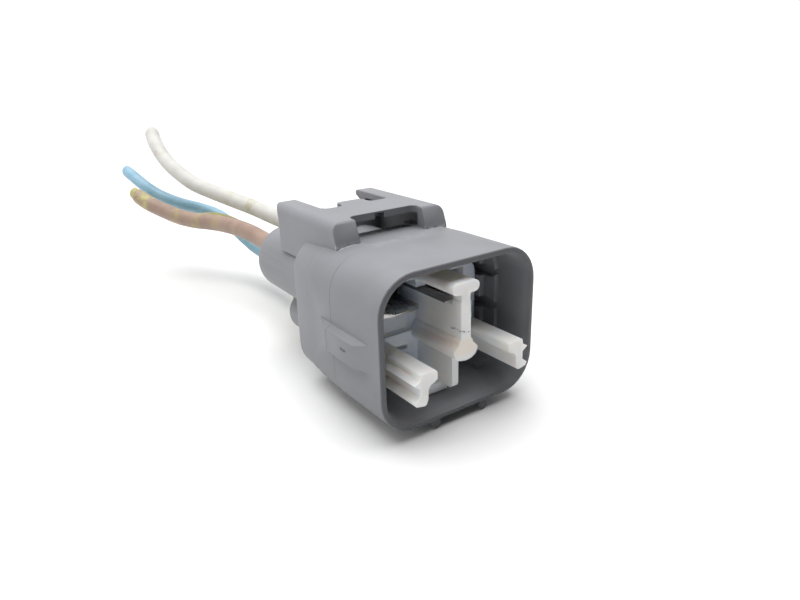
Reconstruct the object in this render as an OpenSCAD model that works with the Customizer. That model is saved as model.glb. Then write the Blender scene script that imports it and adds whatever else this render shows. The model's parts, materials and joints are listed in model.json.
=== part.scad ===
// Sealed four-way connector, pin half, on a short cut lead.
// Each module is drawn with Y running from the shroud's rim to the wires and Z up from the
// shroud's middle; place() then moves it to the part's frame: middle of the base, ribs on Z = 0.

/* [Mating shroud] */
// Width of the shroud at its rim
shroud_w = 33.8; // [32.6:0.1:38]
// Height of the shroud at its rim
shroud_h = 28; // [27:0.1:32]
// Corner radius of the shroud's outline
shroud_r = 6.9; // [5.5:0.1:8.5]
// Length from the rim to the shroud's rear wall
shroud_l = 31.2; // [29:0.1:38]
// Wall of the shroud behind its lead-in
shroud_wall = 1.6; // [1.3:0.05:2.1]
// Wall left at the rim by the lead-in
rim_wall = 1.1; // [0.8:0.05:1.3]
// Length of the lead-in inside the rim
lead_in = 1.9; // [1:0.1:3]
// Rounding of the rim's outer edge
rim_round = 0.5; // [0.2:0.05:0.7]
// Depth of the mouth from the rim to its floor
mouth_d = 16.5; // [15.5:0.1:20]
// Distance from the rim to the mould parting line, where the rear draft starts
parting_y = 15; // [10:0.5:20]
// How far each side wall draws in between the parting line and the rear
side_draft = 1.3; // [0.4:0.1:2]
// How far the top and bottom draw in between the parting line and the rear
top_draft = 0.65; // [0.2:0.05:1]

/* [Mouth lining] */
// Distance from the rim to the thicker side linings
lining_y = 7.8; // [6:0.1:9]
// Thickness of the side linings
lining_t = 0.8; // [0.4:0.05:1]
// Distance from the rim to the seat that guides the holder
seat_y = 10.8; // [9.5:0.1:11.5]
// Half width of the floor between the linings
lining_x = 10.4; // [9:0.1:11]
// Heights of the middle of the keyways in each lining
keyway_zs = [6.65, 0.1];
// Width of a keyway
keyway_w = 2.3; // [1.6:0.1:3]

/* [Latch guard] */
// Height of the guard above the shroud's top
guard_h = 4; // [3.6:0.1:5]
// Half distance between the guard rails
rail_in = 7.4; // [6.6:0.1:8]
// Half width over the guard rails
rail_out = 12.4; // [12:0.1:13]
// Distance from the rim to the rails' front foot
rail_y = 19.5; // [18:0.1:21]
// Length of the rails along their top
rail_l = 23.6; // [20:0.1:26]
// Lean of the rails' front face
rail_lean = 1.7; // [0.5:0.1:2.2]
// Rounding of the rails' outer top edge
rail_round = 1.8; // [1:0.1:2.2]
// Thickness of the guard's top plate
guard_t = 1.4; // [1.2:0.05:1.8]
// Thickness of the guard's side walls behind the shroud
guard_wall = 1.2; // [1:0.05:1.6]
// Distance from the rim to the bridge's front edge
bridge_y = 23.5; // [22.8:0.1:25]
// Length of the bridge between the rails
bridge_l = 8.7; // [7:0.1:10]
// Width of the bridge's rear tongue
tongue_w = 6; // [4:0.1:8]
// Length of the bridge's rear tongue
tongue_l = 3.6; // [2:0.1:5]
// Half width of the bracket channel under the bridge
channel_x = 9.2; // [8.4:0.1:9.8]
// Distance from the rim to the step in the channel's floor
channel_step_y = 27; // [25.5:0.1:29]
// Height of the sill across the channel's rear above the shroud's middle
sill_z = 12.2; // [11.4:0.1:12.4]

/* [Outside details] */
// Length of the side boss along the shroud
boss_l = 16.2; // [12:0.1:18]
// Distance from the rim to the side boss
boss_y = 3.3; // [2:0.1:5]
// Height of the side boss's face
boss_h = 4.1; // [3:0.1:5]
// How far the side boss stands out
boss_t = 1.2; // [0.6:0.1:1.6]
// Half distance between the two keel ribs
keel_x = 5.35; // [4:0.05:7]
// Thickness of a keel rib
keel_w = 1.5; // [1:0.1:2]
// Depth of a keel rib below the shroud
keel_d = 1.8; // [1:0.1:2.5]

/* [Power ways] */
// Half distance between the two power terminals
power_x = 6.1; // [6:0.05:6.4]
// Height of the power terminals above the shroud's middle
power_z = 3.5; // [3.2:0.05:3.8]
// Width of a power blade
power_w = 8; // [6.3:0.1:8.2]
// Outside radius of a power way's seal tower
power_tower_r = 7.2; // [6.6:0.1:7.6]
// Length of a power way's seal tower behind the shroud
power_tower_l = 22.3; // [19:0.1:26]
// Radius of a power wire over its insulation
power_wire_r = 2.1; // [1.7:0.05:2.3]

/* [Signal ways] */
// Half distance between the two signal terminals
signal_x = 5.5; // [5:0.05:6]
// Depth of the signal terminals below the shroud's middle
signal_z = 7.4; // [7.2:0.05:7.7]
// Width of a signal blade
signal_w = 4.8; // [2.8:0.1:5]
// Outside radius of a signal way's seal tower
signal_tower_r = 4.6; // [4.4:0.05:4.9]
// Length of a signal way's seal tower behind the shroud
signal_tower_l = 15.8; // [14:0.1:18]
// Radius of a signal wire over its insulation
signal_wire_r = 1.8; // [1.3:0.05:1.9]

/* [Terminals] */
// Thickness of the blades and of the terminals' sheet
blade_t = 0.8; // [0.6:0.05:1]
// Distance from the rim to the blades' tips
blade_tip_y = 8.5; // [7:0.1:10]
// Clearance of a terminal in its chamber
chamber_gap = 0.3; // [0.2:0.05:0.4]
// Wall of a seal tower round its bore
tower_wall = 1.5; // [1.3:0.05:1.7]
// Depth of the seal bores from the towers' ends
bore_d = 12; // [11:0.1:13]
// Length of a wire seal
seal_l = 9; // [7:0.1:10]
// Clearance of the seals in their bores and on their wires
seal_gap = 0.02; // [0.01:0.01:0.05]

/* [Front holder] */
// Half width of the holder's plate
holder_x = 13.2; // [12.9:0.05:13.4]
// Height of the holder's plate above the shroud's middle
holder_top = 8.7; // [8.5:0.1:9]
// Depth of the holder's foot below the shroud's middle
holder_foot = 12; // [11.9:0.02:12.1]
// Thickness of the holder's plate
holder_t = 4.5; // [3.5:0.1:5]
// How far the side guide bars stand out of the rim
guide_proud = 3; // [1:0.1:4]
// Half distance between the side guide bars
guide_in = 7.9; // [7.8:0.05:8.2]
// Half width over the lips of the side guide bars
guide_out = 12.5; // [12:0.1:13]
// Depth of the side guide bars' top below the shroud's middle
guide_top = 2.2; // [2:0.05:2.6]
// Thickness of the holder's upright web
web_t = 1.8; // [1.4:0.1:2.4]
// Width of the cap on the web
cap_w = 5.8; // [4:0.1:7]
// Height of the cap's top above the shroud's middle
cap_z = 10.3; // [10:0.05:10.8]
// Thickness of the cap
cap_t = 2; // [1.2:0.1:2.2]
// Distance by which the cap and bulb stand out of the rim
post_proud = 0.8; // [0.2:0.1:2]
// Depth of the fin's front edge behind the rim
fin_y = 2; // [1:0.1:4]
// Length of the cut-out in the web under the cap
slot_l = 10.2; // [6:0.1:10.4]
// Height of the cut-out in the web under the cap
slot_h = 2.4; // [1.2:0.1:2.8]

/* [Hidden] */

$fn = 48;
eps = 0.01;

housing_grey = "#96979c";
nylon_white = "#e9e7e0";
tinned = "#8c8d8e";
seal_green = "#4f7d6b";
copper = "#b87347";

// Frame: the base's middle is the origin, and the keel ribs stand on Z = 0.
tower_end_y = shroud_l + power_tower_l;
signal_end_y = shroud_l + signal_tower_l;
frame_y = (tower_end_y - guide_proud) / 2;
frame_z = shroud_h / 2 + keel_d;
guard_top = shroud_h / 2 + guard_h;
guard_under = guard_top - guard_t;
channel_floor = shroud_h / 2;
rail_end_y = rail_y + rail_lean + rail_l;
side_x = shroud_w / 2;

// The rails close behind the bracket channel, with a sill between them.
rail_low = power_z + power_tower_r * 0.7;
rail_back = rail_end_y - 2.1;
sill_y = rail_back - 1.7;

// The seat that guides the holder: how far it is drawn in, and the holder's lower corners.
holder_gap = 0.2;
holder_y = mouth_d - holder_t;
holder_low = holder_foot - 0.5;
seat_dx = side_x - holder_x - holder_gap;
seat_dz = shroud_h / 2 - holder_low - holder_gap;
holder_r = shroud_r - (seat_dx + seat_dz) / 2 - holder_gap;

// A way is [side, x, z, blade width, wire radius, tower radius, tower end].
function power_way(side) =
    [side, side * power_x, power_z, power_w, power_wire_r, power_tower_r, tower_end_y];
function signal_way(side) =
    [side, side * signal_x, -signal_z, signal_w, signal_wire_r, signal_tower_r, signal_end_y];
WAYS = [power_way(-1), power_way(1), signal_way(-1), signal_way(1)];

// Terminal: how high its sides fold up, and where it lies, counted forward from its wire seal.
seal_in = 1;
crimp_l = 3;
crimp_gap = 0.6;
strand_l = 4.4;
neck_l = 1.5;
body_y = mouth_d + 1;
function fold_h(way) = way[3] * 0.2 + 0.9;
function bore_r(way) = way[5] - tower_wall;
function strand_r(way) = way[4] * 0.55;
function seal_y(way) = way[6] - seal_in - seal_l;
function wire_y(way) = seal_y(way) - crimp_l - crimp_gap;
function strand_y(way) = wire_y(way) - strand_l;
function body_end(way) = strand_y(way) - neck_l;

// ---- profiles -------------------------------------------------------------------------

function arc(cx, cy, r, from, to, steps = 8) =
    [for (i = [0:steps]) let (a = from + (to - from) * i / steps)
        [cx + r * cos(a), cy + r * sin(a)]];

// Outline of a rectangle with round corners, centred, as points.
function round_rect(w, h, r, steps = 8) = concat(
    arc(w / 2 - r, h / 2 - r, r, 0, 90, steps), arc(r - w / 2, h / 2 - r, r, 90, 180, steps),
    arc(r - w / 2, r - h / 2, r, 180, 270, steps), arc(w / 2 - r, r - h / 2, r, 270, 360, steps));

// Extrudes an X-Z outline along Y, from y0 to y1.
module along_y(y0, y1) {
    translate([0, y1, 0]) rotate([90, 0, 0]) linear_extrude(y1 - y0) children();
}

// Extrudes a Y-Z outline along X, from x0 to x1.
module along_x(x0, x1) {
    translate([x0, 0, 0]) rotate([90, 0, 90]) linear_extrude(x1 - x0) children();
}

// A box from its two corners.
module block(low, high) {
    translate(low) cube(high - low);
}

// A round bar along Y.
module rod(x, z, r, y0, y1) {
    translate([x, y1, z]) rotate([90, 0, 0]) cylinder(r = r, h = y1 - y0);
}

// Skins a row of sections, each [y, outline], with equally many points in each outline.
module loft(sections) {
    n = len(sections[0][1]);
    last = len(sections) - 1;
    points = [for (s = sections, p = s[1]) [p[0], s[0], p[1]]];
    walls = [for (s = [0:last - 1], i = [0:n - 1]) let (j = (i + 1) % n)
        [s * n + i, s * n + j, (s + 1) * n + j, (s + 1) * n + i]];
    polyhedron(points, concat([[for (i = [n - 1:-1:0]) i]], walls,
                              [[for (i = [0:n - 1]) last * n + i]]), convexity = 6);
}

module both_sides() {
    for (side = [0, 1]) mirror([side, 0, 0]) children();
}

module place() {
    translate([0, -frame_y, frame_z]) children();
}

// ---- housing ----------------------------------------------------------------------------

// One section of the shroud's outside, drawn in by dx at each side and dz at top and bottom.
function shroud_section(y, dx, dz) =
    [y, round_rect(shroud_w - 2 * dx, shroud_h - 2 * dz, shroud_r - (dx + dz) / 2)];

// The share of the rear draft reached at y, with a fine step where each core sleeve ends.
sleeve_step = 0.12;
sleeve_ys = [shroud_l - 7.6, shroud_l - 5.2];
function drafted(y, steps) = let (t = (y - parting_y) / (shroud_l - parting_y))
    shroud_section(y, (side_draft - 2 * sleeve_step) * t + steps * sleeve_step,
                   (top_draft - 2 * sleeve_step) * t + steps * sleeve_step);

module shroud_body() {
    rear_round = 0.6;
    loft(concat(
        [for (a = [0:22.5:90]) let (in = rim_round * (1 - sin(a)))
            shroud_section(rim_round * (1 - cos(a)), in, in)],
        [drafted(parting_y, 0), drafted(sleeve_ys[0], 0), drafted(sleeve_ys[0] + sleeve_step, 1),
         drafted(sleeve_ys[1], 1), drafted(sleeve_ys[1] + sleeve_step, 2)],
        [for (a = [0:30:90]) let (in = rear_round * (1 - cos(a)))
            shroud_section(shroud_l - rear_round * (1 - sin(a)),
                           side_draft + in, top_draft + in)]));
}

// A hollow of the mouth from y0 to y1, inside the outline drawn in by dx and dz.
module mouth_hollow(y0, y1, dx, dz) {
    loft([shroud_section(y0, dx, dz), shroud_section(y1, dx, dz)]);
}

// The mouth: lead-in, open front, and the lined rear with its keyways and the holder's seat.
module mouth() {
    rim_bevel = 0.15;
    lined = shroud_wall + lining_t;
    loft([shroud_section(-eps, rim_wall - rim_bevel, rim_wall - rim_bevel),
          shroud_section(0.35, rim_wall, rim_wall),
          shroud_section(lead_in, shroud_wall, shroud_wall),
          shroud_section(lining_y, shroud_wall, shroud_wall)]);
    mouth_hollow(lining_y - eps, seat_y, lined, lined);
    mouth_hollow(seat_y - eps, mouth_d, seat_dx, seat_dz);
    intersection() {
        mouth_hollow(lining_y - eps, mouth_d, shroud_wall, shroud_wall);
        union() {
            block([-lining_x, lining_y - eps, -shroud_h], [lining_x, mouth_d, shroud_h]);
            for (z = keyway_zs) keyway(z);
        }
    }
}

// A keyway through the lining on both sides, with a round end towards the rim.
module keyway(z) {
    along_x(-shroud_w, shroud_w) union() {
        translate([lining_y + keyway_w / 2, z]) circle(r = keyway_w / 2);
        translate([lining_y + keyway_w / 2, z - keyway_w / 2])
            square([mouth_d - lining_y - keyway_w / 2, keyway_w]);
        translate([lining_y - eps, z - keyway_w / 4]) square([keyway_w, keyway_w / 2]);
    }
}

// Cross-section of a guard rail with its outer top edge rounded.
module rail_outline() {
    inner = 0.3;
    polygon(concat(
        [[rail_in, rail_low]],
        arc(rail_in + inner, guard_top - inner, inner, 180, 90, 4),
        arc(rail_out - rail_round, guard_top - rail_round, rail_round, 90, 0, 8),
        [[rail_out, rail_low]]));
}

// Side view of a guard rail: a leaning front face and a round upper rear end.
module rail_side() {
    end_round = guard_t / 2;
    foot = shroud_h / 2;
    bevel = 0.35;
    polygon(concat(
        [[rail_y, 0], [rail_y, foot], [rail_y + rail_lean - bevel, guard_top - bevel],
         [rail_y + rail_lean, guard_top]],
        arc(rail_end_y - end_round, guard_top - end_round, end_round, 90, -90, 6),
        [[rail_back + 0.5, guard_under - 0.5], [rail_back, guard_under - 1.4],
         [rail_back, 0]]));
}

// Plan of a guard rail: its outer rear corner is round.
module rail_plan() {
    corner = 2.4;
    polygon(concat(
        [[rail_in, rail_y - 1], [rail_out, rail_y - 1]],
        arc(rail_out - corner, rail_end_y - corner, corner, 0, 90, 6),
        [[rail_in, rail_end_y]]));
}

module guard_rail() {
    intersection() {
        along_y(rail_y - 1, rail_end_y + 1) rail_outline();
        along_x(0, shroud_w) rail_side();
        linear_extrude(guard_top + 1) rail_plan();
    }
}

// The bridge joins the rails over the channel and runs back in a tongue with round corners.
module bridge_plan() {
    back = bridge_y + bridge_l;
    corner = 1.2;
    half = tongue_w / 2;
    polygon(concat(
        [[-rail_in - 1, bridge_y - corner]],
        arc(corner - rail_in, bridge_y - corner, corner, 180, 90, 5),
        arc(rail_in - corner, bridge_y - corner, corner, 90, 0, 5),
        [[rail_in + 1, bridge_y - corner], [rail_in + 1, back]],
        arc(rail_in - corner, back + corner, corner, 0, -90, 5),
        arc(half + corner, back + corner, corner, 270, 180, 5),
        arc(half - corner, back + tongue_l - corner, corner, 0, 90, 5),
        arc(corner - half, back + tongue_l - corner, corner, 90, 180, 5),
        arc(-half - corner, back + corner, corner, 0, -90, 5),
        arc(corner - rail_in, back + corner, corner, 270, 180, 5),
        [[-rail_in - 1, back]]));
}

module guard_bridge() {
    notch_w = 2.1;
    notch_l = 2;
    skin = 0.35;
    difference() {
        translate([0, 0, guard_under]) linear_extrude(guard_t) bridge_plan();
        block([-notch_w * 0.75, bridge_y - 1, guard_under - 1],
              [notch_w * 0.25, bridge_y + notch_l, guard_top - skin]);
    }
}

// The bracket channel: under the bridge, over the shroud's top, and shut in by the rails' rear.
module bracket_channel() {
    open_x = rail_out - guard_wall;
    tower_top = power_z + power_tower_r;
    block([-channel_x, rail_y + rail_lean + 1, channel_floor], [channel_x, sill_y, guard_under]);
    block([-channel_x, channel_step_y, tower_top], [channel_x, shroud_l + 1, channel_floor + eps]);
    block([-open_x, shroud_l, 0], [open_x, sill_y, guard_under]);
}

// A low sill between the rails' rear ends, which a bracket's clip snaps over.
module guard_sill() {
    block([-rail_in - 1, sill_y, rail_low], [rail_in + 1, rail_back, sill_z]);
}

// A long coding boss with a ramp to the front and bevels all round.
module side_boss() {
    face = side_x + boss_t;
    intersection() {
        linear_extrude(shroud_h, center = true)
            polygon([[side_x - 1, boss_y], [side_x, boss_y], [face, boss_y + 3],
                     [face, boss_y + boss_l - 3.5], [side_x - 0.4, boss_y + boss_l],
                     [side_x - 1, boss_y + boss_l]]);
        along_y(0, shroud_l)
            polygon([[side_x - 1, -boss_h * 0.68], [side_x, -boss_h * 0.68],
                     [face, -boss_h * 0.63], [face, boss_h * 0.37],
                     [side_x, boss_h * 0.56], [side_x - 1, boss_h * 0.56]]);
    }
}

// A keel rib under the shroud, rounded along its bottom edge.
module keel_rib() {
    bottom = -shroud_h / 2 - keel_d;
    y0 = rim_round;
    rod(keel_x, bottom + keel_w / 2, keel_w / 2, y0, shroud_l);
    block([keel_x - keel_w / 2, y0, bottom + keel_w / 2],
          [keel_x + keel_w / 2, shroud_l, top_draft + 0.5 - shroud_h / 2]);
}

// A seal tower with a little draft and a round rear edge.
module seal_tower(way) {
    r = way[5];
    edge = 0.5;
    start = shroud_l - 1;
    length = way[6] - start;
    translate([way[1], start, way[2]]) rotate([-90, 0, 0]) rotate_extrude()
        polygon(concat([[0, 0], [r + 0.25, 0]], arc(r - edge, length - edge, edge, 0, 90, 4),
                       [[0, length]]));
}

// The passage of one terminal: a flat chamber, then the round bore of its wire seal.
module terminal_passage(way) {
    half = way[3] / 2 + chamber_gap;
    low = way[2] - blade_t / 2 - chamber_gap;
    top = way[2] + fold_h(way) + chamber_gap;
    bore_y = way[6] - bore_d;
    seal_ledge = 0.2;
    block([way[1] - half, mouth_d - 1, low], [way[1] + half, body_end(way) + 1, top]);
    rod(way[1], way[2], bore_r(way) - seal_ledge, body_end(way), bore_y + 1);
    rod(way[1], way[2], bore_r(way), bore_y, way[6] + 1);
}

module housing() {
    color(housing_grey) place() difference() {
        union() {
            difference() {
                union() {
                    shroud_body();
                    both_sides() guard_rail();
                }
                bracket_channel();
            }
            guard_bridge();
            guard_sill();
            both_sides() side_boss();
            both_sides() keel_rib();
            for (way = WAYS) seal_tower(way);
        }
        mouth();
        for (way = WAYS) terminal_passage(way);
        both_sides() holder_pocket(holder_gap);
    }
}

// ---- front holder -------------------------------------------------------------------------

// The holder's two legs press into pockets in the mouth's floor.
leg_l = 6;
leg_z = 2;
module holder_pocket(gap) {
    block([holder_x - 1.6 - gap, mouth_d - eps, -leg_z - gap],
          [holder_x - 0.2 + gap, mouth_d + leg_l + gap, leg_z + gap]);
}

// Outline of the plate, with the mouth's seat followed at its lower corners.
module plate_outline() {
    top_r = 2.5;
    polygon(concat(
        arc(holder_x - top_r, holder_top - top_r, top_r, 0, 90),
        arc(top_r - holder_x, holder_top - top_r, top_r, 90, 180),
        arc(holder_r - holder_x, holder_r - holder_low, holder_r, 180, 270),
        arc(holder_x - holder_r, holder_r - holder_low, holder_r, 270, 360)));
}

// A window through the plate and its ledge, from the lower to the upper corner in X and Z.
module holder_window(low, high) {
    block([low[0], holder_y - 2, low[1]], [high[0], mouth_d + 1, high[1]]);
}

// The plate that closes the mouth: a ledge across it, and windows round and under the blades.
module holder_plate() {
    room = 0.2;
    ledge_low = -4;
    ledge_top = -1.6;
    sill = power_z - 1.1;
    head = holder_top - 1;
    signal_out = signal_x + signal_w / 2 + room;
    difference() {
        union() {
            along_y(holder_y, mouth_d) plate_outline();
            block([1 - holder_x, holder_y - 0.8, ledge_low],
                  [holder_x - 1, holder_y + 1, ledge_top]);
        }
        both_sides() {
            holder_window([web_t / 2, sill], [power_x + power_w / 2 + room, head]);
            holder_window([-web_t, cap_z - cap_t - slot_h], [web_t, head]);
            holder_window([signal_x - signal_w / 2 - room, -signal_z - 1.5],
                          [signal_out, -signal_z + 1.2]);
            holder_window([signal_x - signal_w / 2, -signal_z + 2.1],
                          [signal_out - 0.9, ledge_low]);
            block([power_x - power_w * 0.4, holder_y - 1, ledge_top + 0.4],
                  [power_x + power_w * 0.5, holder_y + room, sill]);
        }
    }
}

// Cross-section of a side guide bar: a head with an outer lip, and a leg with a groove.
module guide_outline() {
    groove = guide_out - 1.1;
    z = -guide_top;
    polygon(concat(
        [[guide_in, z - 1.7]], arc(guide_in + 0.6, z - 0.6, 0.6, 180, 90, 4),
        arc(guide_out - 1.5, z - 0.3, 0.3, 90, 0, 3),
        [[groove, z - 1], [guide_out, z - 1.7], [groove, z - 2.5], [groove, z - 4],
         [guide_out, z - 4.85], [guide_out - 0.3, z - 5.5]],
        arc(guide_out - 1.9, z - 5.2, 0.6, 270, 215, 3),
        [[guide_in + 1.9, z - 4.7]],
        arc(guide_in + 0.6, z - 3.4, 1.3, 0, 80, 5)));
}

module guide_bar() {
    along_y(-guide_proud, holder_y + 1) guide_outline();
}

// Cross-section of the centre post: cap, web and bulb in one outline.
bulb_low = 3.85;
module post_outline() {
    half = web_t / 2;
    thick = half + 0.15;
    cap = cap_w / 2;
    round = cap_t / 2;
    neck = cap_z - cap_t;
    right = concat(
        [[0, -bulb_low]], [[1.3, 0.2 - bulb_low], [2.1, 0.65 - bulb_low]],
        arc(1.9, -2.1, 0.75, -45, 55, 5),
        [[1.9, -1.05], [1.55, -0.75], [1.45, -0.1], [thick, 0.15], [thick, neck - 1.5],
         [half, neck - 1.3], [half, neck - 0.25], [half + 0.25, neck]],
        arc(cap - round, cap_z - round, round, -90, 90, 8));
    left = [for (i = [len(right) - 1:-1:1]) [-right[i][0], right[i][1]]];
    polygon(concat(right, left));
}

// The slot between the web and the cap.
module post_slot() {
    slot_y = 1.5;
    block([-cap_w, slot_y, cap_z - cap_t - slot_h], [cap_w, slot_y + slot_l, cap_z - cap_t]);
}

// The fin under the bulb, free of it in front, with a round lower corner and a foot to one side.
module holder_fin() {
    half = 0.7;
    top = -bulb_low - 0.15;
    low = -10.3;
    free_y = 8.5;
    foot_w = 3.5;
    foot_y = fin_y + 3.2;
    corner = 0.9;
    back = mouth_d - 1;
    along_x(-half, half)
        polygon(concat([[back, low], [back, top + 1], [free_y, top + 1], [free_y, top],
                        [fin_y, top]],
                       arc(fin_y + corner, low + corner, corner, 180, 270, 4)));
    block([-foot_w, foot_y, -holder_foot], [half, holder_y + 1, low + eps]);
}

module front_holder() {
    color(nylon_white) place() {
        holder_plate();
        difference() {
            along_y(-post_proud, mouth_d - 1) post_outline();
            post_slot();
        }
        holder_fin();
        both_sides() guide_bar();
        both_sides() holder_pocket(0);
    }
}

// ---- terminals ----------------------------------------------------------------------------

// Plan of the blade: straight sides and a blunt nose with slanted shoulders.
module blade_plan(w) {
    nose = w * 0.22;
    shoulder = 1.1;
    polygon([[-w / 2, shoulder], [-nose, 0], [nose, 0], [w / 2, shoulder],
             [w / 2, body_y - blade_tip_y + 1], [-w / 2, body_y - blade_tip_y + 1]]);
}

// Side view of the blade's nose, thinned by a bevel above and below.
module blade_side() {
    half = blade_t / 2;
    polygon([[0, -half * 0.35], [0, half * 0.35], [0.9, half], [60, half], [60, -half],
             [0.9, -half]]);
}

// A folded channel section: floor, two sides and two lips turned in.
module body_outline(w, h) {
    t = blade_t;
    difference() {
        translate([-w / 2, -t / 2]) square([w, h + t / 2]);
        translate([t - w / 2, t / 2]) square([w - 2 * t, h - 1.5 * t]);
        translate([-w / 4, t / 2]) square([w / 2, h]);
    }
}

// A barrel closed round r, open at the top by a narrow seam.
module barrel(r, y0, y1) {
    difference() {
        rod(0, 0, r + blade_t, y0, y1);
        rod(0, 0, r, y0 - 1, y1 + 1);
        block([-0.15, y0 - 1, 0], [0.15, y1 + 1, r + 2 * blade_t]);
    }
}

module terminal(way) {
    w = way[3];
    strand = strand_r(way) + seal_gap;
    neck = strand + blade_t * 0.8;
    drop = -way[4] - blade_t;
    step_x = 0.8;
    end_y = body_end(way);
    front = strand_y(way);
    back = wire_y(way);
    color(tinned) place() translate([way[1], 0, way[2]]) {
        intersection() {
            translate([0, blade_tip_y, -1]) linear_extrude(2) blade_plan(w);
            translate([0, blade_tip_y, 0]) along_x(-w, w) blade_side();
        }
        along_y(body_y, end_y) body_outline(w, fold_h(way));
        difference() {
            block([-neck, end_y - 1, -blade_t / 2], [neck, front + 1, blade_t / 2]);
            rod(0, 0, strand, front - 0.3, front + 2);
        }
        barrel(strand, front, back - crimp_gap);
        // the floor steps down from the strands' barrel to the insulation's
        block([-step_x, back - 1.6, drop], [step_x, back - 0.2, -strand - 0.1]);
        block([-step_x, back - 1, drop], [step_x, back + 1, drop + blade_t * 0.9]);
        barrel(way[4], back + crimp_gap, seal_y(way) - 0.1);
    }
}

// The bare strands of a wire in its terminal's barrel.
module strands(way) {
    color(copper) place()
        rod(way[1], way[2], strand_r(way), strand_y(way) - 0.2, wire_y(way));
}

// ---- wire seals ---------------------------------------------------------------------------

// A wire seal: three lips run round its outside, and a collar ends it at the front.
module wire_seal(way) {
    outer = bore_r(way) - seal_gap;
    inner = way[4] + seal_gap;
    valley = outer - (outer - inner) * 0.3;
    pitch = seal_l / 4;
    lips = [for (i = [0:2]) each arc(valley - 0.3, pitch * (i + 0.9), outer - valley + 0.3,
                                     -60, 60, 6)];
    color(seal_green) place() translate([way[1], seal_y(way), way[2]]) rotate([-90, 0, 0])
        rotate_extrude() polygon(concat([[inner, 0], [valley, 0]], lips,
                                        [[valley, seal_l], [inner, seal_l]]));
}

// ---- wires --------------------------------------------------------------------------------

// A wire starts in its crimp and leaves its tower straight; then it follows chosen points.
function lead(way) = [[way[1], wire_y(way), way[2]], [way[1], wire_y(way) + 8, way[2]],
                      [way[1], way[6] + 0.5, way[2]]];

white_route = [[6.1, 60.5, 3.8], [5.3, 68, 4.8], [4.1, 74, 5.7], [2.5, 81, 6.7], [1.2, 87.5, 7.6],
    [-0.7, 93, 8.6], [-2.7, 98.5, 9.6], [-4.9, 104, 10.8], [-7, 110, 12.1], [-8.5, 116, 14.1],
    [-9.5, 123, 16.5], [-9.7, 131, 19.6], [-9, 138, 22.5], [-8.2, 142, 24.3]];
brown_route = [[-6.1, 61, 4], [-6.2, 67, 4.5], [-6.6, 73, 5], [-7.2, 79.5, 5.1], [-8.3, 86, 5],
    [-10.1, 92, 4.8], [-12.3, 97.5, 4.6], [-14.6, 103, 5], [-16.8, 109, 6], [-19.1, 115, 7.4],
    [-20.8, 120, 9.2]];
blue_route = [[5.5, 56, -7.4], [5.5, 64, -7.4], [5.5, 72, -7.4], [5.5, 80, -7.4], [5.4, 88, -7.2],
    [4.3, 96, -6.3], [2.9, 103, -3.6], [1.2, 109, -0.2], [-0.9, 114, 1.8], [-3.7, 119, 3],
    [-6.9, 123, 4], [-9.9, 127.5, 5.3], [-12.3, 132, 6.8], [-14.3, 137, 8.9], [-15.7, 142, 11],
    [-16.7, 147, 12.7]];
yellow_route = [[-4.7, 51.5, -6.7], [-2.9, 56, -4.9], [-1.2, 61, -2.7], [-0.5, 67, -0.9],
    [-0.6, 74, 0.2], [-1.1, 81, 0.9], [-1.9, 88, 1.6], [-3.3, 95, 2.9], [-5.3, 101, 3.3],
    [-7.4, 106, 2.6], [-10.3, 111, 1.8], [-12.9, 117, 2.6], [-14.9, 122.5, 4],
    [-16.9, 128, 5.8], [-18.8, 133, 7.9]];

function unit(v) = v / norm(v);

// Rings of a tube of radius r round the route's points, each square to the route there.
tube_sides = 8;
function tube_ring(route, i, r) =
    let (last = len(route) - 1,
         along = unit(route[min(i + 1, last)] - route[max(i - 1, 0)]),
         side = unit(cross(along, [0, 0, 1])),
         up = cross(side, along))
    [for (k = [0:tube_sides - 1]) let (a = 360 * k / tube_sides)
        route[i] + r * (cos(a) * side + sin(a) * up)];

module wire(way, route, tint) {
    all = concat(lead(way), route);
    n = tube_sides;
    last = len(all) - 1;
    points = [for (i = [0:last]) each tube_ring(all, i, way[4])];
    walls = [for (i = [0:last - 1], k = [0:n - 1]) let (j = (k + 1) % n)
        [i * n + j, i * n + k, (i + 1) * n + k, (i + 1) * n + j]];
    color(tint) place() polyhedron(points, concat([[for (k = [0:n - 1]) k]], walls,
        [[for (k = [n - 1:-1:0]) last * n + k]]), convexity = 4);
}

// ---- the part -----------------------------------------------------------------------------

housing();
front_holder();
terminal(power_way(-1));  // power_terminal_left
terminal(power_way(1));  // power_terminal_right
terminal(signal_way(-1));  // signal_terminal_left
terminal(signal_way(1));  // signal_terminal_right
wire_seal(power_way(-1));  // power_seal_left
wire_seal(power_way(1));  // power_seal_right
wire_seal(signal_way(-1));  // signal_seal_left
wire_seal(signal_way(1));  // signal_seal_right
wire(power_way(-1), brown_route, "#b98e78");  // wire_brown
wire(power_way(1), white_route, "#e4e2da");  // wire_white
wire(signal_way(-1), yellow_route, "#c9bf6c");  // wire_yellow
wire(signal_way(1), blue_route, "#5b9fc4");  // wire_blue
strands(power_way(-1));  // strands_brown
strands(power_way(1));  // strands_white
strands(signal_way(-1));  // strands_yellow
strands(signal_way(1));  // strands_blue
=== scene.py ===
# %% [markdown]
# # A sealed four-way connector
# This lesson dresses the pin half of a sealed wire-to-wire connector: a grey moulded housing, a
# white moulded holder in its mouth, four flat blades and four short cut wires. The solids come
# from the frame and stay where they are. What is made here is the finish of each surface, the
# wires as smooth tubes, and the little marks that moulding and use leave behind.

# %% Load the frame
import json
import math
import random

import bmesh
import bpy
from mathutils import Matrix, Vector

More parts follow.
